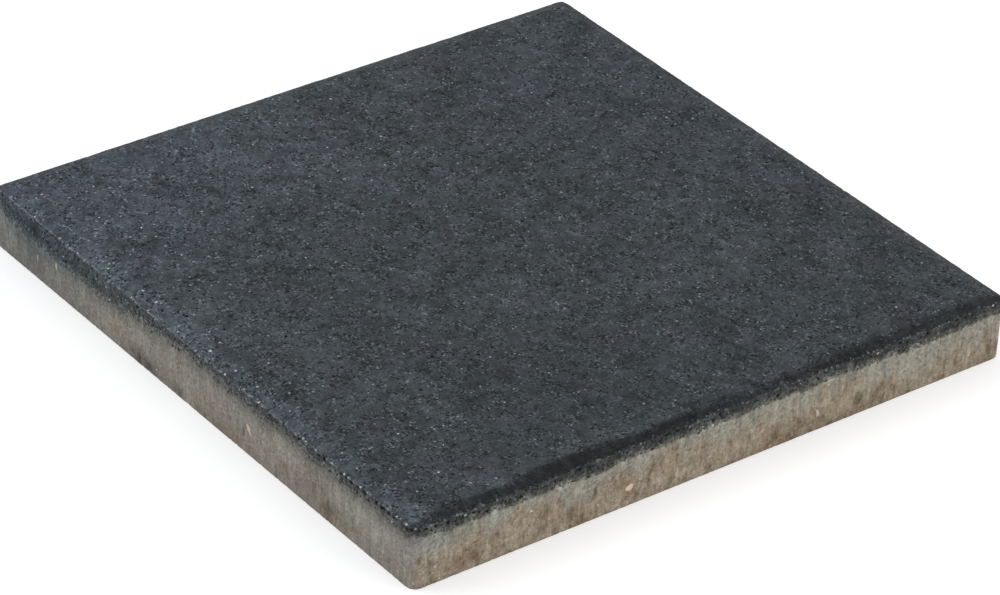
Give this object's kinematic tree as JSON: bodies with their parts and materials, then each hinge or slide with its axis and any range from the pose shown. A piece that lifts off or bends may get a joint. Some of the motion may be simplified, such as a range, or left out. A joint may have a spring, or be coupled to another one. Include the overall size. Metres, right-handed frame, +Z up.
{
  "type": "concrete paving slab",
  "caption": "Square pressed concrete paving slab with a dark speckled walking face, a shallow worn bevel round it and grey-beige sides.",
  "frame": {"origin": "centre of the bed face, the flat underside that the slab is laid on", "axes": "+Z up through the thickness towards the walking face, +X and +Y square to the sides"},
  "size_m": [0.5, 0.5, 0.05],
  "materials": {
    "concrete": "matt pressed concrete: anthracite face mix with fine light grains, grey-beige backing mix on the sides and the bed face"
  },
  "bodies": {
    "root": {"paving_slab": "concrete"}
  },
  "joints": []
}
